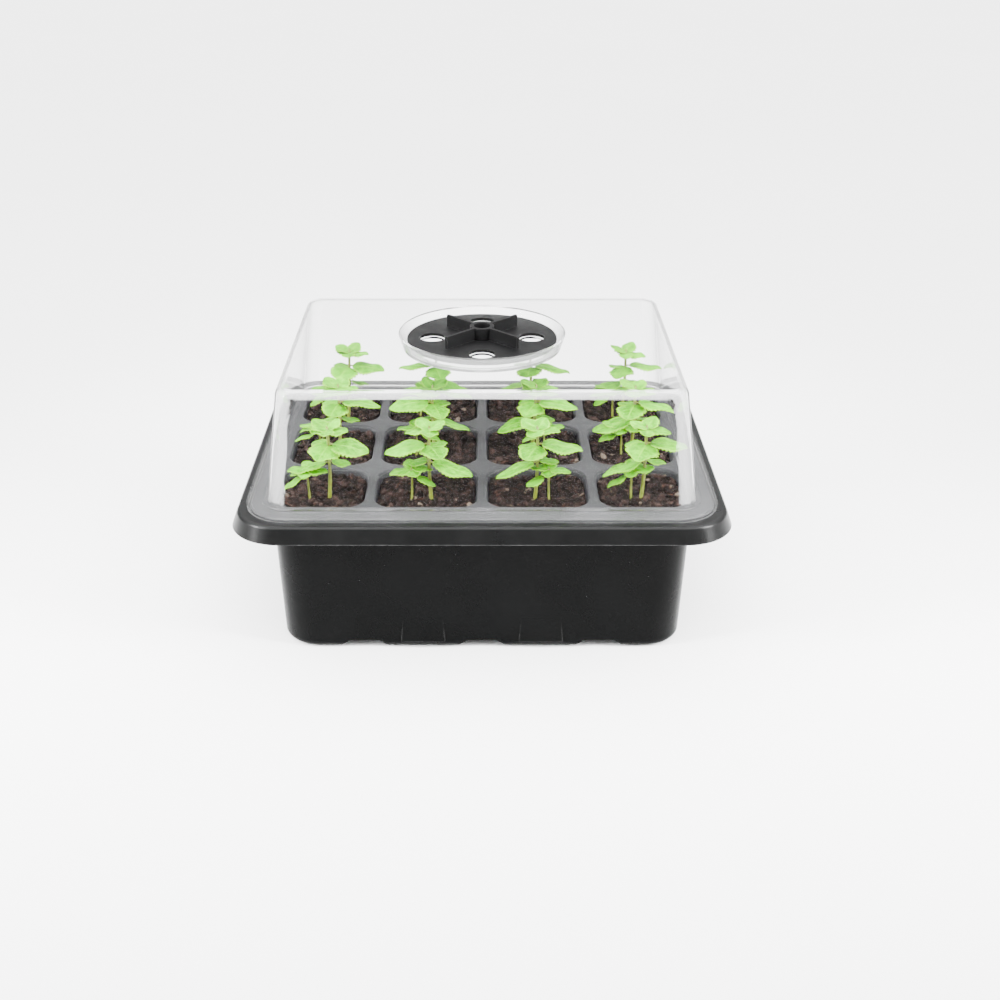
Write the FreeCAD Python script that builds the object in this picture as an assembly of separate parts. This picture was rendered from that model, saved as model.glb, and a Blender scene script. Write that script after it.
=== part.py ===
import FreeCAD, Part
import math
import os

# Seed-starting kit: a footed base tray, a tray of planting cells, a clear dome and its turning vent disc.
# All sizes are in millimetres. +X runs along the columns, +Y along the rows towards the back, +Z is up.
# The origin is the centre of the footprint on the surface that the feet stand on.

# ---- cell grid ----
COLUMNS = 4
ROWS = 3
COLUMN_PITCH = 40.6
ROW_PITCH = 42.6
LEDGE_WIDTH = 3.6

# ---- heights above the ground ----
SKIRT_BOTTOM = 51.2
RIM_TOP = 57.2
LEDGE_TOP = 58.2
DOME_TOP = 101.4

# ---- sheet thicknesses ----
BASE_WALL = 0.9
CELL_WALL = 0.9
DOME_WALL = 0.8

# ---- plan sizes, as half widths and half depths ----
BODY_BOTTOM = (74.7, 57.6)
BODY_TOP = (76.3, 59.2)
BODY_TOP_CORNER = 10.5
BODY_BOTTOM_CORNER = 14.0
BODY_BOTTOM_FILLET = 3.0
RIM_EDGE = (87.8, 70.8)
SKIRT_EDGE = (90.0, 73.0)
SKIRT_CORNER = 19.0
RIM_FILLET = 1.5
CELL_RIM_EDGE = (83.4, 66.4)
CELL_RIM_CORNER = 15.0
DOME_FOOT = (77.3, 60.3)
DOME_CROWN = (72.2, 55.2)
DOME_CORNER = 7.0
DOME_TOP_FILLET = 3.2

# ---- feet: pads stamped in the base floor, with arched channels between them ----
FOOT_PITCH_X = 43.9
CHANNEL_HEIGHT = 3.2
CHANNEL_ROOF_HALF = 4.3
CHANNEL_GROUND_HALF = 11.3
PAD_HEIGHT = 12.6
PAD_TOP_HALF = 7.4
PAD_BOTTOM_HALF = 8.4
PAD_TOP_RELIEF = 0.05
PAD_BOTTOM_RELIEF = 0.9

# ---- planting cells ----
SEAT_GAP = 0.1
DECK_BOTTOM = RIM_TOP + SEAT_GAP
SIDE_GAP = 0.5
CELL_DEPTH = 47.0
CELL_FLOOR = LEDGE_TOP - CELL_DEPTH
CELL_TAPER = 6.2
CELL_CORNER = 8.0
CELL_FLOOR_CORNER = 5.0
CELL_FLOOR_FILLET = 3.6
MOUTH_FILLET = 0.7
DRAIN_RADIUS = 2.4

# ---- dome foot: a step, a flange and a turned-down lip around the cell tray ----
STEP_OUT = 1.9
STEP_HEIGHT = 1.6
LIP_GAP = 0.6
LIP_DROP = 0.9
FLANGE_CORNER = 16.4

# ---- vent: a round pocket in the dome, behind its middle, with a gutter around a raised floor ----
VENT_BACK = 11.0
POCKET_TOP_RADIUS = 31.8
POCKET_BOTTOM_RADIUS = 29.9
POCKET_DEPTH = 5.4
FLOOR_DEPTH = 4.0
FLOOR_RADIUS = 27.4
GUTTER_SLOPE = 0.4
VENT_HOLES = 4
VENT_HOLE_CIRCLE = 19.2
FLOOR_HOLE_RADIUS = 4.6
PIVOT_HOLE_RADIUS = 4.4

# ---- vent disc ----
DISC_RADIUS = 29.1
DISC_THICKNESS = 1.2
DISC_GAP = 0.1
DISC_HOLE_RADIUS = 5.0
TUBE_RADIUS = 4.7
TUBE_BORE = 3.3
TUBE_HEIGHT = 4.8
RIB_LENGTH = 19.2
RIB_THICKNESS = 1.1
HUB_RADIUS = 4.1
SNAP_RADIUS = 4.9
SNAP_GAP = 0.2
SNAP_HEIGHT = 1.4

# ---- soil ----
SOIL_DROP = 3.5
SOIL_GAP = 0.15

# ---- seedlings: a tall one and a small one in each cell ----
LEAF_THICKNESS = 0.5
LEAF_WIDTH_SHARE = 0.62
LEAF_TILT = 12.0
TALL_STEM_RADIUS = 0.75
TALL_HEIGHT = 29.0
# leaves of the tall one: height on the stem, length, turn away from the side it leans to
TALL_LEAVES = (
    (12.5, 15.0, 172.0),
    (20.0, 15.5, -6.0),
    (20.0, 6.0, 160.0),
    (28.5, 8.5, 15.0),
    (28.5, 8.5, 200.0),
)
SMALL_STEM_RADIUS = 0.5
SMALL_HEIGHT = 10.8
SMALL_LEAVES = ((7.0, 6.0, 5.0), (10.5, 6.5, 20.0), (10.5, 6.5, 195.0))
# for each column: side that the tall one leans to, and where both stand from the cell's middle
COLUMN_PLANTS = (
    (1, (2.4, -4.4), (-4.6, -5.4)),
    (-1, (1.8, -4.4), (-5.4, -5.0)),
    (1, (-0.9, -4.2), (4.2, -5.6)),
    (1, (0.0, -4.2), (-3.6, -4.6)),
)

OUT = "parts"
TOLERANCE = 1e-4


def vector(x, y, z):
    return FreeCAD.Vector(x, y, z)


def rounded_rectangle(half_width, half_depth, radius, z, centre=(0.0, 0.0)):
    """Closed wire of a rectangle with round corners, at height z."""
    cx, cy = centre
    edges = []
    corners = ((1, 1, 0), (-1, 1, 90), (-1, -1, 180), (1, -1, 270))
    points = []
    for sx, sy, start in corners:
        ox = cx + sx * (half_width - radius)
        oy = cy + sy * (half_depth - radius)
        arc = [vector(ox + radius * math.cos(math.radians(start + turn)),
                      oy + radius * math.sin(math.radians(start + turn)), z)
               for turn in (0, 45, 90)]
        points.append(arc)
    for index, arc in enumerate(points):
        following = points[(index + 1) % len(points)]
        edges.append(Part.Arc(*arc).toShape())
        edges.append(Part.LineSegment(arc[2], following[0]).toShape())
    return Part.Wire(edges)


def tapered_block(low, high, z_low, z_high, centre=(0.0, 0.0)):
    """Solid between two rounded rectangles, each given as half width, half depth, corner radius."""
    return Part.makeLoft([rounded_rectangle(*low, z_low, centre),
                          rounded_rectangle(*high, z_high, centre)], True, True)


def inset(size, by):
    """A rounded rectangle's half width, half depth and corner radius, moved inwards."""
    return tuple(value - by for value in size)


def lies_at(edge, z):
    """True for an edge that lies flat at height z."""
    return max(abs(edge.BoundBox.ZMin - z), abs(edge.BoundBox.ZMax - z)) < TOLERANCE


def fillet_at_height(solid, z, radius):
    """Round every edge that lies flat at height z."""
    return solid.makeFillet(radius, [edge for edge in solid.Edges if lies_at(edge, z)])


def revolved(profile):
    """Solid of revolution about the vent's upright axis from (radius, height) points."""
    points = [vector(radius, VENT_BACK, z) for radius, z in profile]
    face = Part.Face(Part.makePolygon(points + points[:1]))
    return face.revolve(vector(0, VENT_BACK, 0), vector(0, 0, 1), 360)


def vent_cylinder(radius, z, height):
    """Upright cylinder on the vent's axis."""
    return Part.makeCylinder(radius, height, vector(0, VENT_BACK, z))


def vent_hole_cutters(radius, z, height):
    """Upright cylinders where the vent's ring of holes goes."""
    cutters = []
    for index in range(VENT_HOLES):
        angle = 2 * math.pi * index / VENT_HOLES
        place = vector(VENT_HOLE_CIRCLE * math.cos(angle), VENT_BACK + VENT_HOLE_CIRCLE * math.sin(angle), z)
        cutters.append(Part.makeCylinder(radius, height, place))
    return cutters


def fused(shapes):
    return shapes[0].multiFuse(shapes[1:]).removeSplitter()


def between(low, high, share):
    """Size part of the way from one rounded rectangle to another."""
    return tuple(a + (b - a) * share for a, b in zip(low, high))


# ---- base tray: a tub with a footed floor, and the rim around its top ----

def channel(x_centre, lift, length):
    """Arched channel along Y below the floor; lift raises it by the sheet thickness."""
    run = CHANNEL_GROUND_HALF - CHANNEL_ROOF_HALF
    bend = (run ** 2 + CHANNEL_HEIGHT ** 2) / (4 * CHANNEL_HEIGHT)
    turn = math.asin(run / (2 * bend))
    y = -length / 2

    def flank(side):
        """Flank of the arch, from the ground to the roof, as two tangent arcs."""
        low_centre = (CHANNEL_GROUND_HALF, bend)
        high_centre = (CHANNEL_ROOF_HALF, CHANNEL_HEIGHT - bend)
        low = [vector(x_centre + side * (low_centre[0] - (bend - lift) * math.sin(angle)), y,
                      low_centre[1] - (bend - lift) * math.cos(angle))
               for angle in (0, turn / 2, turn)]
        high = [vector(x_centre + side * (high_centre[0] + (bend + lift) * math.sin(angle)), y,
                       high_centre[1] + (bend + lift) * math.cos(angle))
                for angle in (turn, turn / 2, 0)]
        return low, high

    right_low, right_high = flank(1)
    left_low, left_high = flank(-1)
    below = -CHANNEL_HEIGHT
    right_foot = vector(right_low[0].x, y, below)
    left_foot = vector(left_low[0].x, y, below)
    edges = [Part.LineSegment(right_foot, right_low[0]).toShape(),
             Part.Arc(*right_low).toShape(),
             Part.Arc(*right_high).toShape(),
             Part.LineSegment(right_high[2], left_high[2]).toShape(),
             Part.Arc(*left_high).toShape(),
             Part.Arc(*left_low).toShape(),
             Part.LineSegment(left_low[0], left_foot).toShape(),
             Part.LineSegment(left_foot, right_foot).toShape()]
    face = Part.Face(Part.Wire(Part.__sortEdges__(edges)))
    return face.extrude(vector(0, length, 0))


def channels(lift):
    """All the arched channels between the feet, along both directions, as one solid."""
    length = 2.2 * SKIRT_EDGE[0]
    along_y = [channel((index - COLUMNS / 2) * FOOT_PITCH_X, lift, length)
               for index in range(1, COLUMNS)]
    along_x = []
    for index in range(1, ROWS):
        strip = channel((index - ROWS / 2) * ROW_PITCH, lift, length)
        strip.rotate(vector(0, 0, 0), vector(0, 0, 1), 90)
        along_x.append(strip)
    return along_y[0].multiFuse(along_y[1:] + along_x)


def body_size(z, by):
    """Outline of the tapered base body at height z, moved inwards."""
    share = z / RIM_TOP
    low = BODY_BOTTOM + (BODY_BOTTOM_CORNER,)
    high = BODY_TOP + (BODY_TOP_CORNER,)
    return inset(between(low, high, share), by)


def foot_pads():
    """Panels on the front and back walls above the middle feet, which fade into the wall upwards."""
    foot = body_size(BODY_BOTTOM_FILLET, -PAD_BOTTOM_RELIEF)
    skin = tapered_block(foot, body_size(PAD_HEIGHT, -PAD_TOP_RELIEF), BODY_BOTTOM_FILLET, PAD_HEIGHT)
    outline = [vector(-PAD_BOTTOM_HALF, 0, 0), vector(PAD_BOTTOM_HALF, 0, 0),
               vector(PAD_TOP_HALF, 0, PAD_HEIGHT), vector(-PAD_TOP_HALF, 0, PAD_HEIGHT)]
    panel = Part.Face(Part.makePolygon(outline + outline[:1]))
    depth = 2 * SKIRT_EDGE[1]
    pads = []
    for index in range(1, COLUMNS - 1):
        bar = panel.extrude(vector(0, depth, 0))
        bar.translate(vector((index - (COLUMNS - 1) / 2) * FOOT_PITCH_X, -depth / 2, 0))
        pads.append(bar.common(skin))
    return pads


def base_outside():
    """Outer shape of the tapered body, without its wall pads."""
    block = tapered_block(body_size(0, 0), body_size(RIM_TOP, 0), 0, RIM_TOP)
    return fillet_at_height(block, 0, BODY_BOTTOM_FILLET)


def make_base_tub():
    """Walls and footed floor, open at the top."""
    hollow = tapered_block(body_size(BASE_WALL, BASE_WALL), body_size(RIM_TOP + BASE_WALL, BASE_WALL),
                           BASE_WALL, RIM_TOP + BASE_WALL)
    hollow = fillet_at_height(hollow, BASE_WALL, BODY_BOTTOM_FILLET - BASE_WALL)
    hollow = hollow.cut(channels(BASE_WALL))
    outside = base_outside().multiFuse(foot_pads())
    return outside.cut([hollow, channels(0)]).removeSplitter()


def make_base_rim():
    """Flat rim around the top of the walls, with the flared skirt that hangs from its edge."""
    skirt_low = SKIRT_EDGE + (SKIRT_CORNER,)
    skirt_high = RIM_EDGE + (SKIRT_CORNER - SKIRT_EDGE[0] + RIM_EDGE[0],)
    rim = fillet_at_height(tapered_block(skirt_low, skirt_high, SKIRT_BOTTOM, RIM_TOP), RIM_TOP, RIM_FILLET)
    slope = (SKIRT_EDGE[0] - RIM_EDGE[0]) / (RIM_TOP - SKIRT_BOTTOM)
    under_low = inset(skirt_low, BASE_WALL - slope * BASE_WALL)
    under_high = inset(skirt_high, BASE_WALL - slope * BASE_WALL)
    underside = tapered_block(under_low, under_high, SKIRT_BOTTOM - BASE_WALL, RIM_TOP - BASE_WALL)
    return rim.cut([underside, base_outside()])


# ---- cell tray: a deck with the cells' mouths, and a cup under each mouth ----

def cell_spans(count, pitch, wall_half):
    """Low and high edge of each cell opening along one direction."""
    edge = wall_half - BASE_WALL - SIDE_GAP - CELL_WALL
    spans = []
    for index in range(count):
        low = (index - count / 2) * pitch + LEDGE_WIDTH / 2
        high = low + pitch - LEDGE_WIDTH
        spans.append((max(low, -edge), min(high, edge)))
    return spans


def cell_openings():
    """Row, column, centre and half size of every cell opening; row 1 is at the front."""
    for row, (front, back) in enumerate(cell_spans(ROWS, ROW_PITCH, BODY_TOP[1])):
        for column, (left, right) in enumerate(cell_spans(COLUMNS, COLUMN_PITCH, BODY_TOP[0])):
            centre = ((left + right) / 2, (front + back) / 2)
            yield row + 1, column + 1, centre, ((right - left) / 2, (back - front) / 2)


def cell_block(centre, half, outwards, z_low, z_high):
    """Tapered block of one cell, moved outwards by the sheet thickness or inwards by a gap."""
    mouth = (half[0] + outwards, half[1] + outwards, CELL_CORNER + outwards)
    base = (half[0] - CELL_TAPER + outwards, half[1] - CELL_TAPER + outwards,
            CELL_FLOOR_CORNER + outwards)
    low = between(base, mouth, (z_low - CELL_FLOOR) / CELL_DEPTH)
    high = between(base, mouth, (z_high - CELL_FLOOR) / CELL_DEPTH)
    block = tapered_block(low, high, z_low, z_high, centre)
    return fillet_at_height(block, z_low, CELL_FLOOR_FILLET + outwards)


def make_cell_deck():
    """Flat sheet with the rim, the ledges and the mouths of the cells."""
    rim = CELL_RIM_EDGE + (CELL_RIM_CORNER,)
    sheet = tapered_block(rim, rim, DECK_BOTTOM, LEDGE_TOP)
    hollows = [cell_block(centre, half, 0, CELL_FLOOR, LEDGE_TOP) for _, _, centre, half in cell_openings()]
    return round_cell_mouths(sheet.cut(hollows))


def make_cell_cup(centre, half):
    """Tapered cup that hangs from the deck around one mouth, with a drain hole in its floor."""
    outside = cell_block(centre, half, CELL_WALL, CELL_FLOOR - CELL_WALL, DECK_BOTTOM)
    hollow = cell_block(centre, half, 0, CELL_FLOOR, LEDGE_TOP)
    drain = Part.makeCylinder(DRAIN_RADIUS, 3 * CELL_WALL,
                              vector(centre[0], centre[1], CELL_FLOOR - 2 * CELL_WALL))
    return outside.cut([hollow, drain])


def round_cell_mouths(deck):
    """Round the upper edge of each cell opening, leaving the outer edge of the sheet."""
    edges = []
    for edge in deck.Edges:
        middle = edge.BoundBox.Center
        inside = abs(middle.x) < BODY_TOP[0] and abs(middle.y) < BODY_TOP[1]
        if lies_at(edge, LEDGE_TOP) and inside:
            edges.append(edge)
    return deck.makeFillet(MOUTH_FILLET, edges)


# ---- dome ----

def pocket_profile(offset):
    """Section of the vent pocket: the air in it, or the sheet around it when offset by the wall."""
    gutter = DOME_TOP - POCKET_DEPTH - offset
    floor = DOME_TOP - FLOOR_DEPTH - offset
    above = DOME_TOP + DOME_WALL if offset == 0 else DOME_TOP
    return [(0, above), (POCKET_TOP_RADIUS + offset, above),
            (POCKET_TOP_RADIUS + offset, DOME_TOP),
            (POCKET_BOTTOM_RADIUS + offset, gutter),
            (FLOOR_RADIUS + GUTTER_SLOPE - offset, gutter),
            (FLOOR_RADIUS - offset, floor), (0, floor)]


def make_dome():
    seat = LEDGE_TOP + SEAT_GAP
    foot = DOME_FOOT + (DOME_CORNER + 1,)
    crown = DOME_CROWN + (DOME_CORNER,)
    step = inset(foot, -STEP_OUT)
    lip_reach = LIP_GAP + DOME_WALL
    flange = (CELL_RIM_EDGE[0] + lip_reach, CELL_RIM_EDGE[1] + lip_reach, FLANGE_CORNER)
    lip_inside = inset(flange, DOME_WALL)

    shell = fillet_at_height(tapered_block(foot, crown, seat, DOME_TOP), DOME_TOP, DOME_TOP_FILLET)
    step_block = tapered_block(step, step, seat, seat + STEP_HEIGHT)
    flange_block = tapered_block(flange, flange, seat - LIP_DROP, seat + DOME_WALL)
    outside = shell.multiFuse([step_block, flange_block])

    inner_top = DOME_TOP - DOME_WALL
    hollow = fillet_at_height(tapered_block(inset(foot, DOME_WALL), inset(crown, DOME_WALL), seat, inner_top),
                              inner_top, DOME_TOP_FILLET - DOME_WALL)
    step_hollow = tapered_block(inset(step, DOME_WALL), inset(step, DOME_WALL),
                                seat - LIP_DROP, seat + STEP_HEIGHT - DOME_WALL)
    lip_hollow = tapered_block(lip_inside, lip_inside, seat - LIP_DROP, seat)
    hollow = hollow.cut(revolved(pocket_profile(DOME_WALL)))

    cuts = [hollow, step_hollow, lip_hollow, revolved(pocket_profile(0))]
    floor_under = DOME_TOP - FLOOR_DEPTH - 2 * DOME_WALL
    cuts.append(vent_cylinder(PIVOT_HOLE_RADIUS, floor_under, 3 * DOME_WALL))
    cuts.extend(vent_hole_cutters(FLOOR_HOLE_RADIUS, floor_under, 3 * DOME_WALL))
    return outside.cut(cuts).removeSplitter()


# ---- vent disc ----

def make_vent_disc():
    underside = DOME_TOP - FLOOR_DEPTH + DISC_GAP
    top = underside + DISC_THICKNESS
    floor_underside = DOME_TOP - FLOOR_DEPTH - DOME_WALL
    snap_top = floor_underside - SNAP_GAP
    snap_bottom = snap_top - SNAP_HEIGHT
    turned = revolved([(0, snap_bottom), (HUB_RADIUS, snap_bottom), (SNAP_RADIUS, snap_top),
                       (HUB_RADIUS, snap_top), (HUB_RADIUS, underside), (DISC_RADIUS, underside),
                       (DISC_RADIUS, top), (TUBE_RADIUS, top), (TUBE_RADIUS, top + TUBE_HEIGHT),
                       (0, top + TUBE_HEIGHT)])
    ribs = []
    for index in range(VENT_HOLES):
        rib = Part.makeBox(RIB_LENGTH - TUBE_BORE, RIB_THICKNESS, TUBE_HEIGHT + DISC_THICKNESS / 2,
                           vector(TUBE_BORE, VENT_BACK - RIB_THICKNESS / 2, top - DISC_THICKNESS / 2))
        rib.rotate(vector(0, VENT_BACK, 0), vector(0, 0, 1), 360 * (index + 0.5) / VENT_HOLES)
        ribs.append(rib)
    cuts = [vent_cylinder(TUBE_BORE, snap_bottom - 1, top + TUBE_HEIGHT - snap_bottom + 2)]
    cuts.extend(vent_hole_cutters(DISC_HOLE_RADIUS, underside - 1, DISC_THICKNESS + 2))
    return turned.multiFuse(ribs).cut(cuts).removeSplitter()


# ---- contents ----

def make_soil_plug(centre, half):
    return cell_block(centre, half, -SOIL_GAP, CELL_FLOOR + SOIL_GAP, LEDGE_TOP - SOIL_DROP)


def make_leaf(length, turn):
    """Flat oval leaf that starts at the stem, rises outwards and points along +X before it is turned."""
    oval = Part.Ellipse(vector(0, 0, 0), length / 2, length * LEAF_WIDTH_SHARE / 2).toShape()
    leaf = Part.Face(Part.Wire(oval)).extrude(vector(0, 0, LEAF_THICKNESS))
    leaf.translate(vector(length / 2, 0, -LEAF_THICKNESS))
    leaf.rotate(vector(0, 0, 0), vector(0, 1, 0), -LEAF_TILT)
    leaf.rotate(vector(0, 0, 0), vector(0, 0, 1), turn)
    return leaf


def make_plant(base, side, radius, height, leaves):
    """One seedling: an upright stem with flat leaves; side is 1 or -1, the way it leans."""
    pieces = [Part.makeCylinder(radius, height, base)]
    for leaf_height, length, turn in leaves:
        leaf = make_leaf(length, turn if side > 0 else 180 - turn)
        leaf.translate(base + vector(0, 0, leaf_height))
        pieces.append(leaf)
    return fused(pieces)


def make_seedlings(column, centre):
    side, tall, small = COLUMN_PLANTS[column - 1]
    soil_top = LEDGE_TOP - SOIL_DROP + SOIL_GAP
    tall_base = vector(centre[0] + tall[0], centre[1] + tall[1], soil_top)
    small_base = vector(centre[0] + small[0], centre[1] + small[1], soil_top)
    return Part.makeCompound([
        make_plant(tall_base, side, TALL_STEM_RADIUS, TALL_HEIGHT, TALL_LEAVES),
        make_plant(small_base, -side, SMALL_STEM_RADIUS, SMALL_HEIGHT, SMALL_LEAVES)])


def export(name, shape):
    shape.exportStep(os.path.join(OUT, name + ".step"))


def main():
    os.makedirs("parts", exist_ok=True)
    export("base_tub", make_base_tub())
    export("base_rim", make_base_rim())
    export("cell_deck", make_cell_deck())
    export("dome", make_dome())
    export("vent_disc", make_vent_disc())
    for row, column, centre, half in cell_openings():
        name = f"r{row}c{column}"
        export("cell_cup_" + name, make_cell_cup(centre, half))
        export("soil_plug_" + name, make_soil_plug(centre, half))
        export("seedlings_" + name, make_seedlings(column, centre))


main()
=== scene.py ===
import math
import random

import bmesh
import bpy
from mathutils import Matrix, Vector, noise


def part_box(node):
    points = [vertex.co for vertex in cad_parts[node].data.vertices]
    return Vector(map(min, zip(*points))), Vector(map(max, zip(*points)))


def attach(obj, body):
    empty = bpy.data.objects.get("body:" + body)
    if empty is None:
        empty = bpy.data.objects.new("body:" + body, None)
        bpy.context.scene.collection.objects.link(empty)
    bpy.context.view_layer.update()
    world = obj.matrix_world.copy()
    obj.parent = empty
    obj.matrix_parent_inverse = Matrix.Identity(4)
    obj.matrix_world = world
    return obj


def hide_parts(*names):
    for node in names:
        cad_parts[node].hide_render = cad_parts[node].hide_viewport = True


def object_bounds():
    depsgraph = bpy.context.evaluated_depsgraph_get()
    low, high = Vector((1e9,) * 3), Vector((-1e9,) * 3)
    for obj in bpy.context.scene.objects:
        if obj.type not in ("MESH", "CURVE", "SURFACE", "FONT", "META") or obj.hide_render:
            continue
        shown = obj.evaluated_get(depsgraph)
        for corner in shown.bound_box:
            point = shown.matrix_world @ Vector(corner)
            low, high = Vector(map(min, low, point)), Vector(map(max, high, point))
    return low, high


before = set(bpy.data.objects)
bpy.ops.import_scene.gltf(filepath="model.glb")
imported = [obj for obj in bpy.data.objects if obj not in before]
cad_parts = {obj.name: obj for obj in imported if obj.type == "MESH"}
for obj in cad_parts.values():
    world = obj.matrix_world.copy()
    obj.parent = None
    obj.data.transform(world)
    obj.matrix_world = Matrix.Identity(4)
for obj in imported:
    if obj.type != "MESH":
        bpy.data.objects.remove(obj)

# Looks of the seed-starting kit: black formed trays, clear dome, vent disc, crumbly soil and seedlings.
# Everything is in metres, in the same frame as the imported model. Colours are linear.

CAD_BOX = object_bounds()
MM = 0.001
ROWS = 3
COLUMNS = 4
CELLS = [(row, column) for row in range(1, ROWS + 1) for column in range(1, COLUMNS + 1)]

# ---- camera ----
CAMERA_PLACE = Vector((0.0, -497.4, 273.6)) * MM
CAMERA_PITCH = 25.75
CAMERA_LENS = 49.4
CAMERA_SHIFT_X = 0.018

# ---- plants: for each column, the side the tall one leans to, and where the tall and the small one
# stand in the cell (mm from its middle) ----
COLUMN_PLANTS = (
    (1, (2.4, -4.4), (-4.6, -5.4)),
    (-1, (1.8, -4.4), (-5.4, -5.0)),
    (1, (-0.9, -4.2), (4.2, -5.6)),
    (1, (0.0, -4.2), (-3.6, -4.6)),
)
# leaves: height on the stem, azimuth, pitch, length, width, stalk length (mm and degrees)
TALL_LEAVES = (
    (15.0, 186, -10, 14.4, 9.0, 1.4),
    (15.4, 14, -2, 7.4, 5.6, 0.8),
    (21.8, 250, -4, 10.0, 10.8, 0.3),
    (22.2, 350, 4, 14.0, 11.0, 1.6),
    (21.4, 150, 4, 7.0, 6.0, 0.6),
    (27.4, 150, 30, 6.6, 6.6, 0.5),
    (27.6, 55, 34, 6.2, 6.4, 0.4),
    (27.2, 352, 10, 7.4, 6.8, 0.9),
    (28.0, 262, 8, 6.2, 6.0, 0.3),
    (28.4, 205, 22, 5.2, 4.6, 0.3),
)
# stems: height, and the radius at the foot and at the tip (mm)
TALL_HEIGHT = 29.0
TALL_RADII = (0.72, 0.5)
SMALL_LEAVES = (
    (12.6, 190, 4, 7.6, 6.4, 0.4),
    (12.6, 8, 8, 7.0, 6.2, 0.4),
    (12.4, 285, 0, 5.0, 5.0, 0.2),
    (12.8, 100, 24, 4.6, 4.6, 0.2),
    (9.6, 348, -14, 7.6, 5.0, 2.0),
)
SMALL_HEIGHT = 13.0
SMALL_RADII = (0.42, 0.34)
LEAF_THICKNESS = 0.22 * MM
LEAF_STEPS = (46, 12)
LEAF_TOOTH = 1.35 * MM
FEWEST_TEETH = 5
LEAF_TINT = (0.045, 0.200, 0.0002)

# ---- dome: depth of its top bend, height of its flange, and the vent pocket's and its floor's radius.
# The tints run from a face seen head-on (0) to one seen along its surface (1); their darker grazing end is
# painted shade along the sheet's edges. ----
DOME_BEND = 3.3 * MM
DOME_INDEX = 1.08
CLEAR_TINTS_AND_EDGE_SHADE = ((0.0, 0.99), (0.62, 0.975), (0.85, 0.75), (1.0, 0.25))
BEND_TINTS_AND_EDGE_SHADE = ((0.0, 0.99), (0.25, 0.96), (0.50, 0.68), (0.80, 0.36), (1.0, 0.15))
FLANGE_TOP = 3.0 * MM
POCKET_REACH = 33.0 * MM
FLOOR_REACH = 27.2 * MM
CLEAR_SLOT, BEND_SLOT, FLANGE_SLOT = 0, 1, 2

# ---- soil: how many crumbs of each size (mm) lie on a cell's lumpy surface ----
SOIL_CORNER = 7.4 * MM
SOIL_RISE = 1.0 * MM
SURFACE_STEPS = 44
COARSE_CRUMBS = (150, (0.65, 1.35))
FINE_CRUMBS = (900, (0.22, 0.6))
FIBRES = 26
FIBRE_MARGIN = 2.4 * MM
SPECK_CHANCE = 0.018
SOIL_TINTS = ((0.0024, 0.0018, 0.0016), (0.0060, 0.0041, 0.0036), (0.0120, 0.0078, 0.0066),
              (0.0240, 0.0150, 0.0128), (0.0016, 0.0013, 0.0012), (0.0380, 0.0240, 0.0205))
SPECK_TINT = (0.13, 0.10, 0.075)
BARK_TINT = (0.050, 0.023, 0.016)

# ---- studio: a broad overhead light that fades towards the horizon, over a pale floor ----
SKY_LOW = 1.0
SKY_HIGH = 7.5
SKY_RISE = (0.40, 0.86)
FLOOR_SIZE = 14.0
FLOOR_GAP = 0.2 * MM


# ---- materials ----

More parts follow.
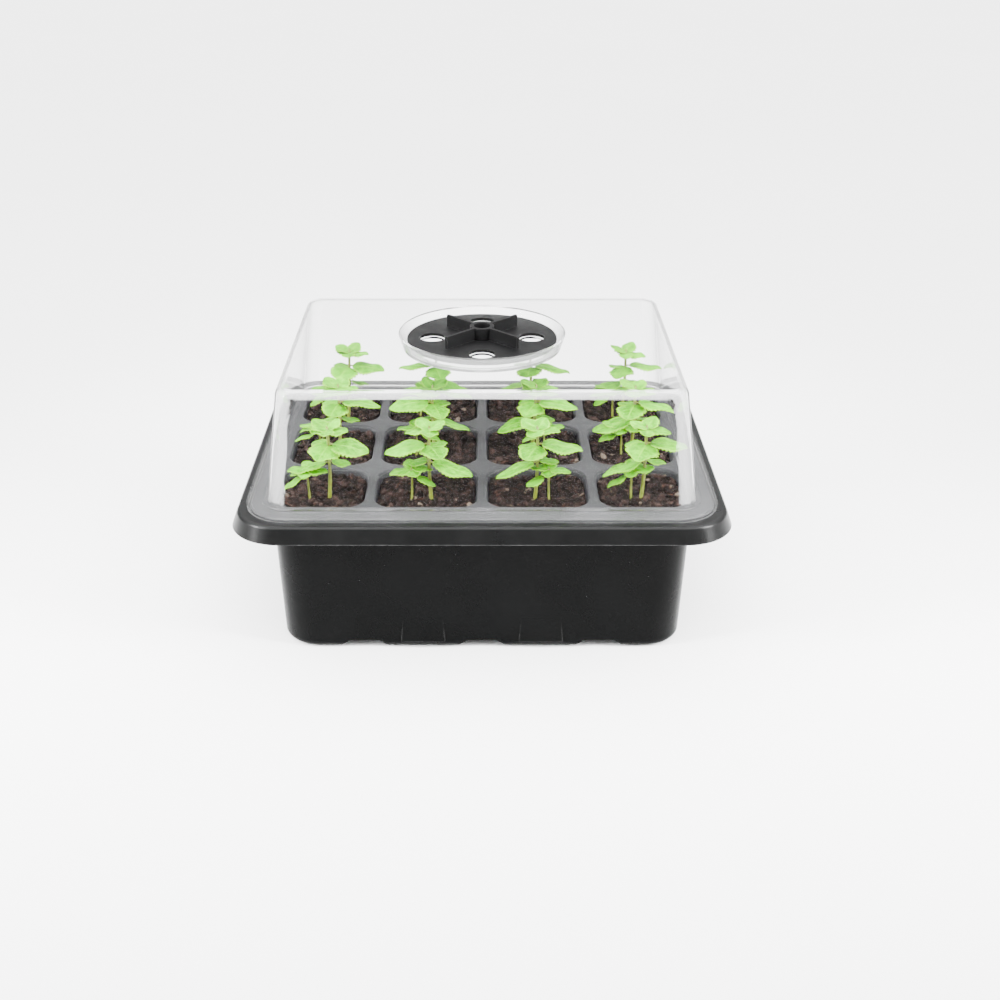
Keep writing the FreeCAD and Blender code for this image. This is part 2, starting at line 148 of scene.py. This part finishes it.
class Shader:
    """Small helper that adds nodes to a new material and links them."""

    def __init__(self, name):
        self.material = bpy.data.materials.new(name)
        self.material.use_nodes = True
        self.tree = self.material.node_tree
        self.principled = self.tree.nodes["Principled BSDF"]
        self.output = self.tree.nodes["Material Output"]

    def node(self, kind, **inputs):
        """Adds a node and sets its inputs; an underscore in a name stands for a space."""
        made = self.tree.nodes.new(kind)
        for key, value in inputs.items():
            made.inputs[key.replace("_", " ")].default_value = value
        return made

    def link(self, source, target):
        self.tree.links.new(source, target)

    def set(self, **values):
        """Sets inputs of the main shader to uniform values."""
        for key, value in values.items():
            self.principled.inputs[key.replace("_", " ")].default_value = value

    def position(self):
        return self.node("ShaderNodeTexCoord").outputs["Object"]

    def noise(self, size, detail=3.0, roughness=0.55):
        """Noise whose blobs are about size metres across."""
        made = self.node("ShaderNodeTexNoise", Scale=1.0 / size, Detail=detail, Roughness=roughness)
        self.link(self.position(), made.inputs["Vector"])
        return made.outputs["Fac"]

    def ramp(self, factor, stops):
        """Colour ramp from (position, colour) stops."""
        made = self.node("ShaderNodeValToRGB")
        elements = made.color_ramp.elements
        while len(elements) < len(stops):
            elements.new(1.0)
        for element, (position, colour) in zip(elements, stops):
            element.position = position
            element.color = (*colour, 1.0)
        self.link(factor, made.inputs["Fac"])
        return made.outputs["Color"]

    def remap(self, factor, low, high, from_low=0.3, from_high=0.7):
        """Stretches from_low..from_high to low..high; the default range suits noise."""
        made = self.node("ShaderNodeMapRange")
        made.inputs["From Min"].default_value = from_low
        made.inputs["From Max"].default_value = from_high
        made.inputs["To Min"].default_value = low
        made.inputs["To Max"].default_value = high
        self.link(factor, made.inputs["Value"])
        return made.outputs["Result"]

    def math(self, operation, first, second=None):
        made = self.tree.nodes.new("ShaderNodeMath")
        made.operation = operation
        for index, value in enumerate((first, second)):
            if isinstance(value, (int, float)):
                made.inputs[index].default_value = value
            elif value is not None:
                self.link(value, made.inputs[index])
        return made.outputs["Value"]

    def mix(self, factor, first, second):
        """Blend of two colours, each a socket or a plain colour."""
        made = self.tree.nodes.new("ShaderNodeMix")
        made.data_type = "RGBA"
        for name, value in (("Factor", factor), ("A", first), ("B", second)):
            socket = next(
                s for s in made.inputs
                if s.name == name and s.type in ("RGBA", "VALUE") and s.enabled)
            if isinstance(value, (int, float)):
                socket.default_value = value
            elif isinstance(value, tuple):
                socket.default_value = (*value, 1.0)
            else:
                self.link(value, socket)
        return next(s for s in made.outputs if s.enabled)

    def bump(self, height, distance, strength=1.0, normal=None):
        """Relief distance metres deep, on top of an earlier relief if one is given."""
        made = self.node("ShaderNodeBump", Strength=strength, Distance=distance)
        self.link(height, made.inputs["Height"])
        if normal:
            self.link(normal, made.inputs["Normal"])
        return made.outputs["Normal"]

    def edge_mask(self, radius):
        """1 along convex and concave edges, 0 on open faces."""
        soft = self.tree.nodes.new("ShaderNodeBevel")
        soft.samples = 4
        soft.inputs["Radius"].default_value = radius
        geometry = self.tree.nodes.new("ShaderNodeNewGeometry")
        dot = self.tree.nodes.new("ShaderNodeVectorMath")
        dot.operation = "DOT_PRODUCT"
        self.link(soft.outputs["Normal"], dot.inputs[0])
        self.link(geometry.outputs["Normal"], dot.inputs[1])
        return self.remap(dot.outputs["Value"], 1.0, 0.0, 0.80, 0.995)


def formed_plastic(name, deep, pale, roughness, specular, edge_wear_and_highlight_grey, edge_wear_and_highlight_below=None):
    """Black formed sheet plastic: cloudy colour, paler edges that are partly rubbed wear and partly painted
    highlight, fine orange peel, soft waviness.

    The last argument is the height above which the paler edges, wear and painted highlight, fade.
    """
    s = Shader(name)
    cloud = s.noise(22 * MM, detail=4.0)
    fine = s.noise(0.9 * MM, detail=2.0)
    colour = s.ramp(cloud, [(0.32, deep), (0.72, pale)])
    # Paler edges, convex and concave: partly rubbed wear, partly painted highlight lines along them.
    edge_wear_and_highlight = s.math("MULTIPLY", s.edge_mask(0.5 * MM), s.remap(s.noise(3 * MM), 0.25, 0.8))
    # Above the given height the painted edge highlight fades out.
    if edge_wear_and_highlight_below:
        parts = s.tree.nodes.new("ShaderNodeSeparateXYZ")
        s.link(s.position(), parts.inputs["Vector"])
        near_feet = s.remap(parts.outputs["Z"], 1.0, 0.12, edge_wear_and_highlight_below / 2, edge_wear_and_highlight_below)
        edge_wear_and_highlight = s.math("MULTIPLY", edge_wear_and_highlight, near_feet)
    worn_and_highlit = s.mix(edge_wear_and_highlight, colour, (edge_wear_and_highlight_grey, edge_wear_and_highlight_grey, edge_wear_and_highlight_grey))
    s.link(worn_and_highlit, s.principled.inputs["Base Color"])
    low, high = roughness
    rough = s.remap(s.noise(9 * MM, detail=5.0), low, high)
    s.link(rough, s.principled.inputs["Roughness"])
    peel = s.bump(fine, 0.01 * MM, 0.3)
    s.link(s.bump(s.noise(14 * MM, detail=1.0), 0.05 * MM, 0.3, peel), s.principled.inputs["Normal"])
    s.set(Specular_IOR_Level=specular)
    return s.material


def clear_sheet(name, clear, roughness, tints, waviness):
    """Thin clear sheet that lets lamps through.

    clear is the share of light let through, and tints run from head-on to grazing; their darker grazing end
    is painted shade that draws the sheet's edges.
    """
    s = Shader(name)
    grazing = s.tree.nodes.new("ShaderNodeLayerWeight")
    grazing.inputs["Blend"].default_value = 0.5
    # Darker towards grazing: painted shade that draws the sheet's edges as grey lines.
    stops = [(place, (grey, grey, grey)) for place, grey in tints]
    s.link(s.ramp(grazing.outputs["Facing"], stops), s.principled.inputs["Base Color"])
    ripple = s.bump(s.noise(26 * MM, detail=1.0), 0.25 * MM, waviness)
    s.link(ripple, s.principled.inputs["Normal"])
    s.set(Transmission_Weight=clear, Roughness=roughness, IOR=DOME_INDEX)
    path = s.tree.nodes.new("ShaderNodeLightPath")
    passed = s.tree.nodes.new("ShaderNodeBsdfTransparent")
    passed.inputs["Color"].default_value = (0.95, 0.96, 0.96, 1.0)
    both = s.tree.nodes.new("ShaderNodeMixShader")
    s.link(path.outputs["Is Shadow Ray"], both.inputs["Fac"])
    s.link(s.principled.outputs["BSDF"], both.inputs[1])
    s.link(passed.outputs["BSDF"], both.inputs[2])
    s.link(both.outputs["Shader"], s.output.inputs["Surface"])
    return s.material


def paint_dome():
    """Clear walls and roof; cloudy where the sheet was bent; a milky flange around the foot."""
    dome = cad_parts["dome"].data
    dome.materials.clear()
    dome.materials.append(clear_sheet("dome_clear", 1.0, 0.03, CLEAR_TINTS_AND_EDGE_SHADE, 0.3))
    dome.materials.append(clear_sheet("dome_bend", 0.88, 0.10, BEND_TINTS_AND_EDGE_SHADE, 0.3))
    dome.materials.append(clear_sheet("dome_flange", 0.992, 0.14, CLEAR_TINTS_AND_EDGE_SHADE, 0.04))
    low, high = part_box("dome")
    disc_low, disc_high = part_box("vent_disc")
    vent = (disc_low + disc_high) / 2
    for face in dome.polygons:
        place, normal = face.center, face.normal
        from_vent = math.hypot(place.x - vent.x, place.y - vent.y)
        upright_bend = min(abs(normal.x), abs(normal.y)) > 0.2
        roof_bend = 0.2 < abs(normal.z) < 0.97 and place.z > high.z - DOME_BEND
        if place.z < low.z + FLANGE_TOP:
            face.material_index = FLANGE_SLOT
        elif from_vent < POCKET_REACH:
            face.material_index = BEND_SLOT if from_vent > FLOOR_REACH else CLEAR_SLOT
        elif upright_bend or roof_bend:
            face.material_index = BEND_SLOT


def soil_material():
    """Dark moist potting mix; each crumb has its own tint, stored on the mesh."""
    s = Shader("potting_soil")
    tint = s.tree.nodes.new("ShaderNodeAttribute")
    tint.attribute_name = "tint"
    base = s.ramp(s.noise(1.3 * MM, detail=6.0, roughness=0.7), [
        (0.25, (0.0012, 0.0009, 0.0008)),
        (0.5, (0.0060, 0.0042, 0.0037)),
        (0.78, (0.026, 0.0170, 0.0145))])
    s.link(s.mix(0.55, base, tint.outputs["Color"]), s.principled.inputs["Base Color"])
    s.link(s.remap(s.noise(2.4 * MM), 0.72, 0.98), s.principled.inputs["Roughness"])
    s.link(s.bump(s.noise(0.45 * MM, detail=5.0), 0.25 * MM, 0.9), s.principled.inputs["Normal"])
    s.set(Specular_IOR_Level=0.04)
    return s.material


def leaf_material():
    """Young leaf: pale midrib and side veins, lighter toothed margin, soft blotches."""
    s = Shader("seedling_leaf")
    uv = s.tree.nodes.new("ShaderNodeUVMap")
    uv.uv_map = "leaf"
    parts = s.tree.nodes.new("ShaderNodeSeparateXYZ")
    s.link(uv.outputs["UV"], parts.inputs["Vector"])
    along, across = parts.outputs["X"], parts.outputs["Y"]
    off = s.math("ABSOLUTE", s.math("SUBTRACT", across, 0.5))
    rib = s.remap(off, 1.0, 0.0, 0.0, 0.035)
    slanted = s.math("SUBTRACT", along, s.math("MULTIPLY", off, 0.62))
    wave = s.math("ABSOLUTE", s.math("SUBTRACT", s.math("FRACT", s.math("MULTIPLY", slanted, 6.0)), 0.5))
    veins = s.math("MULTIPLY", s.remap(wave, 1.0, 0.0, 0.0, 0.085), s.remap(off, 1.0, 0.2, 0.0, 0.45))
    lines = s.math("MAXIMUM", rib, veins)
    margin = s.remap(off, 0.0, 1.0, 0.40, 0.50)
    blotch = s.noise(2.2 * MM, detail=4.0)
    flesh = s.ramp(blotch, [
        (0.36, (0.012, 0.090, 0.0001)),
        (0.50, (0.042, 0.200, 0.0002)),
        (0.64, (0.095, 0.340, 0.0006))])
    tint = s.tree.nodes.new("ShaderNodeAttribute")
    tint.attribute_name = "tint"
    flesh = s.mix(0.45, flesh, tint.outputs["Color"])
    veined = s.mix(s.math("MULTIPLY", lines, 0.75), flesh, (0.150, 0.390, 0.006))
    edged = s.mix(s.math("MULTIPLY", margin, 0.75), veined, (0.190, 0.430, 0.012))
    s.link(edged, s.principled.inputs["Base Color"])
    s.link(s.remap(s.noise(1.5 * MM), 0.38, 0.58), s.principled.inputs["Roughness"])
    quilt = s.bump(lines, 0.22 * MM, -0.55)
    s.link(s.bump(s.noise(0.7 * MM, detail=3.0), 0.06 * MM, 0.5, quilt), s.principled.inputs["Normal"])
    s.set(Specular_IOR_Level=0.06, Subsurface_Weight=0.15)
    s.set(Subsurface_Scale=0.4 * MM, Subsurface_Radius=(0.6, 1.0, 0.2))
    return s.material


def stem_material():
    """Juicy pale yellow-green stem."""
    s = Shader("seedling_stem")
    colour = s.ramp(s.noise(2.5 * MM, detail=3.0), [
        (0.3, (0.060, 0.085, 0.002)),
        (0.55, (0.095, 0.120, 0.004)),
        (0.8, (0.130, 0.165, 0.012))])
    s.link(colour, s.principled.inputs["Base Color"])
    s.link(s.remap(s.noise(1.2 * MM), 0.35, 0.55), s.principled.inputs["Roughness"])
    s.link(s.bump(s.noise(0.5 * MM), 0.05 * MM, 0.6), s.principled.inputs["Normal"])
    s.set(Subsurface_Weight=0.25, Subsurface_Scale=0.5 * MM, Subsurface_Radius=(0.8, 1.0, 0.3))
    return s.material


def floor_material():
    """Matt, nearly white floor."""
    s = Shader("pale_floor")
    s.link(s.ramp(s.noise(300 * MM), [(0.3, (0.93, 0.93, 0.93)), (0.7, (0.95, 0.95, 0.95))]),
           s.principled.inputs["Base Color"])
    s.set(Roughness=0.85, Specular_IOR_Level=0.1)
    return s.material


def paint(node, material):
    """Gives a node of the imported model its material."""
    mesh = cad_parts[node].data
    mesh.materials.clear()
    mesh.materials.append(material)


# ---- mesh building ----

class Pile:
    """Collects vertices and faces of many small shapes for one mesh."""

    def __init__(self):
        self.points = []
        self.faces = []
        self.slots = []
        self.tints = []
        self.uvs = []

    def add(self, points, faces, slot=0, tint=(0.5, 0.5, 0.5), uvs=None):
        """Adds one shape, with one material slot and one tint."""
        start = len(self.points)
        self.points.extend(points)
        self.tints.extend([(*tint, 1.0)] * len(points))
        self.uvs.extend(uvs or [(0.5, 0.5)] * len(points))
        for face in faces:
            self.faces.append([start + index for index in face])
            self.slots.append(slot)

    def build(self, name, materials):
        """Makes one smooth object of all the shapes."""
        mesh = bpy.data.meshes.new(name)
        mesh.from_pydata(self.points, [], self.faces)
        for material in materials:
            mesh.materials.append(material)
        mesh.polygons.foreach_set("material_index", self.slots)
        mesh.polygons.foreach_set("use_smooth", [True] * len(self.faces))
        tint = mesh.color_attributes.new("tint", "FLOAT_COLOR", "POINT")
        tint.data.foreach_set("color", [value for colour in self.tints for value in colour])
        layer = mesh.uv_layers.new(name="leaf")
        corners = []
        for loop in mesh.loops:
            corners.extend(self.uvs[loop.vertex_index])
        layer.data.foreach_set("uv", corners)
        mesh.validate()
        piece = bpy.data.objects.new(name, mesh)
        bpy.context.scene.collection.objects.link(piece)
        return piece


def ball(levels):
    """Points and faces of a unit ball made of triangles."""
    shape = bmesh.new()
    bmesh.ops.create_icosphere(shape, subdivisions=levels, radius=1.0)
    points = [vertex.co.copy() for vertex in shape.verts]
    faces = [[vertex.index for vertex in face.verts] for face in shape.faces]
    shape.free()
    return points, faces


# ---- soil ----

def within(x, y, half_x, half_y, corner):
    """Moves a point into a rectangle with round corners."""
    inner_x, inner_y = half_x - corner, half_y - corner
    over_x = max(0.0, abs(x) - inner_x)
    over_y = max(0.0, abs(y) - inner_y)
    reach = math.hypot(over_x, over_y)
    if reach > corner:
        over_x *= corner / reach
        over_y *= corner / reach
    new_x = math.copysign(min(abs(x), inner_x) + over_x, x)
    new_y = math.copysign(min(abs(y), inner_y) + over_y, y)
    return new_x, new_y


def soil_height(x, y, seed):
    """Height of the soil's surface over its plug: lumps a few millimetres across and finer grain."""
    place = Vector((x, y, seed * 0.05))
    lumps = noise.noise(place / (7 * MM)) * 0.6 * MM
    grain = noise.noise(place / (2.2 * MM)) * 0.35 * MM
    return SOIL_RISE + lumps + grain


def soil_surface(pile, centre, top, half_x, half_y, seed):
    """Lumpy sheet that covers the plug and turns down at its border."""
    steps = SURFACE_STEPS
    points = []
    for row in range(steps + 1):
        for column in range(steps + 1):
            x = (2 * column / steps - 1) * half_x
            y = (2 * row / steps - 1) * half_y
            x, y = within(x, y, half_x, half_y, SOIL_CORNER)
            edge = min(row, column, steps - row, steps - column)
            height = soil_height(centre.x + x, centre.y + y, seed) if edge else -0.6 * MM
            points.append(Vector((centre.x + x, centre.y + y, top + height)))
    across = steps + 1
    faces = [[row * across + column, row * across + column + 1,
              (row + 1) * across + column + 1, (row + 1) * across + column]
             for row in range(steps) for column in range(steps)]
    pile.add(points, faces, tint=SOIL_TINTS[0])


def crumb(pile, template, place, size, stretch, tint, chance):
    """One irregular lump, sized, stretched and turned at random."""
    points, faces = template
    spin = Matrix.Rotation(chance.uniform(0, 2 * math.pi), 3, "Z")
    tip = Matrix.Rotation(chance.uniform(-0.9, 0.9), 3, "X")
    roll = Matrix.Rotation(chance.uniform(-0.9, 0.9), 3, "Y")
    turn = spin @ tip @ roll
    offset = Vector((chance.uniform(0, 90), chance.uniform(0, 90), chance.uniform(0, 90)))
    made = []
    for point in points:
        rough = 1.0 + 0.55 * noise.noise(point * 1.7 + offset)
        local = Vector((point.x * stretch[0], point.y * stretch[1], point.z * stretch[2])) * size * rough
        made.append(place + turn @ local)
    pile.add(made, faces, tint=tint)


def make_soil(row, column, material):
    """Root ball of one cell: the plug's own shape, a lumpy surface on it, and crumbs and fibres on that."""
    plug = f"soil_plug_r{row}c{column}"
    low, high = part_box(plug)
    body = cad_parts[plug].data
    centre = (low + high) / 2
    half_x, half_y = (high.x - low.x) / 2, (high.y - low.y) / 2
    seed = row * 10 + column
    chance = random.Random(seed)
    pile = Pile()
    pile.add([vertex.co.copy() for vertex in body.vertices],
             [list(face.vertices) for face in body.polygons], tint=SOIL_TINTS[0])
    soil_surface(pile, centre, high.z, half_x, half_y, seed)
    coarse, fine = ball(2), ball(1)
    for (count, sizes), template in ((COARSE_CRUMBS, coarse), (FINE_CRUMBS, fine)):
        for _ in range(count):
            margin = sizes[1] * MM
            x, y = within(chance.uniform(-half_x, half_x), chance.uniform(-half_y, half_y),
                          half_x - margin, half_y - margin, SOIL_CORNER)
            size = chance.uniform(*sizes) * MM
            height = soil_height(centre.x + x, centre.y + y, seed) + size * 0.25
            stretch = (chance.uniform(0.8, 1.5), chance.uniform(0.7, 1.1), chance.uniform(0.5, 0.85))
            tint = chance.choice(SOIL_TINTS)
            if chance.random() < SPECK_CHANCE:
                tint = SPECK_TINT
            place = Vector((centre.x + x, centre.y + y, high.z + height))
            crumb(pile, template, place, size, stretch, tint, chance)
    for _ in range(FIBRES):
        x, y = within(chance.uniform(-half_x, half_x), chance.uniform(-half_y, half_y),
                      half_x - FIBRE_MARGIN, half_y - FIBRE_MARGIN, SOIL_CORNER)
        height = soil_height(centre.x + x, centre.y + y, seed) + 0.35 * MM
        place = Vector((centre.x + x, centre.y + y, high.z + height))
        size = chance.uniform(0.25, 0.4) * MM
        stretch = (chance.uniform(4, 7), 0.8, 0.6)
        crumb(pile, fine, place, size, stretch, BARK_TINT, chance)
    piece = pile.build(f"soil_surface_r{row}c{column}", [material])
    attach(piece, "cells")
    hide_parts(plug)


# ---- seedlings ----

def tube(pile, path, radii, slot, sides=10):
    """Round tube along a list of points, tapering from the first radius to the last, with closed ends."""
    points = []
    uvs = []
    count = len(path)
    for index, centre in enumerate(path):
        ahead = path[min(index + 1, count - 1)] - path[max(index - 1, 0)]
        side = ahead.cross(Vector((0.3, 1.0, 0.1))).normalized()
        other = ahead.cross(side).normalized()
        share = index / (count - 1)
        radius = radii[0] + (radii[1] - radii[0]) * share
        for step in range(sides):
            angle = 2 * math.pi * step / sides
            points.append(centre + (side * math.cos(angle) + other * math.sin(angle)) * radius)
            uvs.append((share, step / sides))
    faces = []
    for index in range(count - 1):
        for step in range(sides):
            following = (step + 1) % sides
            faces.append([index * sides + step, index * sides + following,
                          (index + 1) * sides + following, (index + 1) * sides + step])
    faces.append(list(range(sides))[::-1])
    faces.append([(count - 1) * sides + step for step in range(sides)])
    pile.add(points, faces, slot=slot, uvs=uvs)


def leaf_outline(share):
    """Half width of a leaf, from 0 to 1, a share of the way along it."""
    body = math.sin(math.pi * share ** 0.78) ** 0.62
    return max(body, 0.0)


def leaf(pile, base, azimuth, pitch, length, width, chance, tint):
    """Leaf blade with a toothed margin, folded along its midrib and curling down at the tip."""
    along_steps, across_steps = LEAF_STEPS
    teeth = max(FEWEST_TEETH, round(length / LEAF_TOOTH))
    curl = chance.uniform(0.10, 0.24)
    fold = chance.uniform(0.10, 0.20)
    wave = chance.uniform(0, 2 * math.pi)
    top, bottom, uvs = [], [], []
    for i in range(along_steps + 1):
        share = i / along_steps
        half = leaf_outline(share) * width / 2
        tooth = 0.90 + 0.20 * abs(math.sin(math.pi * teeth * share)) ** 0.8
        for j in range(across_steps + 1):
            side = 2 * j / across_steps - 1
            reach = side * half * (tooth if abs(side) == 1 else 1.0)
            x = length * share
            z = -curl * length * share ** 2 + fold * abs(reach)
            z -= 0.10 * (reach ** 2) / (width / 2) * 2.2
            z += 0.035 * width * math.sin(share * 9 + wave) * abs(side) ** 1.5
            top.append(Vector((x, reach, z)))
            uvs.append((share, (side + 1) / 2))
    for point in top:
        bottom.append(point - Vector((0, 0, LEAF_THICKNESS)))
    heading = Matrix.Rotation(math.radians(azimuth), 3, "Z")
    rise = Matrix.Rotation(-math.radians(pitch), 3, "Y")
    roll = Matrix.Rotation(chance.uniform(-0.16, 0.16), 3, "X")
    turn = heading @ rise @ roll
    points = [base + turn @ point for point in top + bottom]
    across = across_steps + 1
    under = len(top)
    faces = []
    for i in range(along_steps):
        for j in range(across_steps):
            a = i * across + j
            quad = [a, a + across, a + across + 1, a + 1]
            faces.append(quad)
            faces.append([under + index for index in reversed(quad)])
    for i in range(along_steps):
        for j in (0, across_steps):
            a = i * across + j
            rim = [a, under + a, under + a + across, a + across]
            faces.append(rim if j else rim[::-1])
    pile.add(points, faces, slot=0, tint=tint, uvs=uvs + uvs)


def plant(pile, base, side, height, radii, leaves, chance):
    """One seedling: a gently bent stem, leaf stalks and leaf blades."""
    lean = Vector((side * chance.uniform(0.01, 0.05), chance.uniform(-0.03, 0.03), 0)) * height

    def on_stem(share):
        bend = math.sin(share * math.pi) * 0.02 * height
        return base + Vector((side * bend, 0, share * height)) + lean * share ** 2

    start = Vector((0, 0, -1.2 * MM))
    path = [base + start] + [on_stem(step / 12) for step in range(13)]
    tube(pile, path, radii, slot=1)
    for level, azimuth, pitch, length, width, stalk in leaves:
        azimuth = azimuth if side > 0 else 180 - azimuth
        azimuth += chance.uniform(-9, 9)
        pitch += chance.uniform(-4, 4)
        grown = chance.uniform(0.92, 1.06)
        share = level * MM / height
        root = on_stem(min(share, 1.0))
        heading = Vector((math.cos(math.radians(azimuth)), math.sin(math.radians(azimuth)), 0))
        rise = math.tan(math.radians(max(pitch, -5) + 12))
        end = root + heading * stalk * MM + Vector((0, 0, stalk * MM * rise))
        middle = (root + end) / 2 + Vector((0, 0, 0.12 * stalk * MM))
        stalk_path = [root, middle, end, end + heading * 0.3 * MM]
        tube(pile, stalk_path, (radii[1] * 0.75, radii[1] * 0.45), slot=1, sides=8)
        shade = chance.uniform(0.55, 1.5)
        tint = tuple(value * shade for value in LEAF_TINT)
        leaf(pile, end, azimuth, pitch, length * MM * grown, width * MM * grown, chance, tint)
    bud_path = [on_stem(0.99), on_stem(1.0) + Vector((0, 0, 0.7 * MM))]
    tube(pile, bud_path, (radii[1], radii[1] * 0.3), slot=1, sides=8)


def make_seedlings(row, column, materials):
    """The tall and the small seedling of one cell."""
    node = f"seedlings_r{row}c{column}"
    low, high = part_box(f"soil_plug_r{row}c{column}")
    centre = Vector(((low.x + high.x) / 2, (low.y + high.y) / 2, high.z + 0.5 * MM))
    side, tall, small = COLUMN_PLANTS[column - 1]
    chance = random.Random(500 + row * 10 + column)
    pile = Pile()
    tall_base = centre + Vector((tall[0] * MM, tall[1] * MM, 0))
    small_base = centre + Vector((small[0] * MM, small[1] * MM, 0))
    tall_radii = [radius * MM for radius in TALL_RADII]
    small_radii = [radius * MM for radius in SMALL_RADII]
    plant(pile, tall_base, side, TALL_HEIGHT * MM, tall_radii, TALL_LEAVES, chance)
    plant(pile, small_base, -side, SMALL_HEIGHT * MM, small_radii, SMALL_LEAVES, chance)
    piece = pile.build(f"sprigs_r{row}c{column}", materials)
    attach(piece, "cells")
    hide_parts(node)


# ---- studio ----

def make_floor():
    """Broad pale floor, just under the feet."""
    bpy.ops.mesh.primitive_plane_add(size=FLOOR_SIZE, location=(0, 3.0, CAD_BOX[0].z - FLOOR_GAP))
    floor = bpy.context.object
    floor.name = "floor"
    floor.data.materials.append(floor_material())


def area_light(name, place, target, size, power, spread):
    """Rectangular lamp turned towards a target; spread is the width of its beam in degrees."""
    light = bpy.data.lights.new(name, "AREA")
    light.shape = "RECTANGLE"
    light.size, light.size_y = size
    light.energy = power
    light.spread = math.radians(spread)
    lamp = bpy.data.objects.new(name, light)
    lamp.location = place
    lamp.rotation_euler = (Vector(target) - Vector(place)).to_track_quat("-Z", "Y").to_euler()
    lamp.visible_camera = False
    bpy.context.scene.collection.objects.link(lamp)


def make_lights():
    """Overhead sky, a softbox above the front, and a narrow strip on each side."""
    world = bpy.data.worlds.new("studio")
    bpy.context.scene.world = world
    world.use_nodes = True
    nodes, links = world.node_tree.nodes, world.node_tree.links
    direction = nodes.new("ShaderNodeSeparateXYZ")
    links.new(nodes.new("ShaderNodeTexCoord").outputs["Generated"], direction.inputs["Vector"])
    sky = nodes.new("ShaderNodeValToRGB")
    sky.color_ramp.interpolation = "EASE"
    for element, (rise, grey) in zip(sky.color_ramp.elements, zip(SKY_RISE, (SKY_LOW / SKY_HIGH, 1.0))):
        element.position = rise
        element.color = (grey, grey, grey, 1.0)
    links.new(direction.outputs["Z"], sky.inputs["Fac"])
    links.new(sky.outputs["Color"], nodes["Background"].inputs["Color"])
    nodes["Background"].inputs["Strength"].default_value = SKY_HIGH
    area_light("front_softbox", place=(0.0, -0.62, 0.95), target=(0, 0, 0.08),
               size=(1.1, 0.30), power=8.0, spread=180)
    for name, side in (("left_strip", -1), ("right_strip", 1)):
        area_light(name, place=(0.45 * side, -0.22, 0.30), target=(0, 0, 0.06),
                   size=(0.10, 0.36), power=2.6, spread=75)


def make_camera():
    camera = bpy.data.cameras.new("camera")
    camera.lens = CAMERA_LENS
    camera.sensor_width = 36.0
    camera.shift_x = CAMERA_SHIFT_X
    camera.clip_start = 0.01
    camera.clip_end = 30.0
    holder = bpy.data.objects.new("camera", camera)
    holder.location = CAMERA_PLACE
    holder.rotation_euler = (math.radians(90 - CAMERA_PITCH), 0, 0)
    bpy.context.scene.collection.objects.link(holder)
    bpy.context.scene.camera = holder


def main():
    # The edge greys below are partly rubbed wear and partly painted highlight along the edges.
    tub = formed_plastic("tub_gloss_black", deep=(0.0007, 0.0008, 0.0008), pale=(0.0016, 0.0017, 0.0017),
                         roughness=(0.20, 0.30), specular=0.035, edge_wear_and_highlight_grey=0.045, edge_wear_and_highlight_below=11 * MM)
    rim = formed_plastic("rim_gloss_black", deep=(0.0012, 0.0013, 0.0013), pale=(0.0024, 0.0025, 0.0025),
                         roughness=(0.26, 0.36), specular=0.15, edge_wear_and_highlight_grey=0.060)
    cells = formed_plastic("cell_satin_black", deep=(0.0140, 0.0140, 0.0147), pale=(0.0230, 0.0230, 0.0242),
                           roughness=(0.34, 0.48), specular=0.11, edge_wear_and_highlight_grey=0.090)
    vent = formed_plastic("vent_satin_black", deep=(0.0030, 0.0030, 0.0031), pale=(0.0060, 0.0060, 0.0062),
                          roughness=(0.36, 0.50), specular=0.06, edge_wear_and_highlight_grey=0.020)
    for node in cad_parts:
        for start, material in (("base_tub", tub), ("base_rim", rim), ("cell_", cells), ("vent_", vent)):
            if node.startswith(start):
                paint(node, material)
    paint_dome()
    soil = soil_material()
    green = [leaf_material(), stem_material()]
    for row, column in CELLS:
        make_soil(row, column, soil)
        make_seedlings(row, column, green)
    make_floor()
    make_lights()
    make_camera()


main()
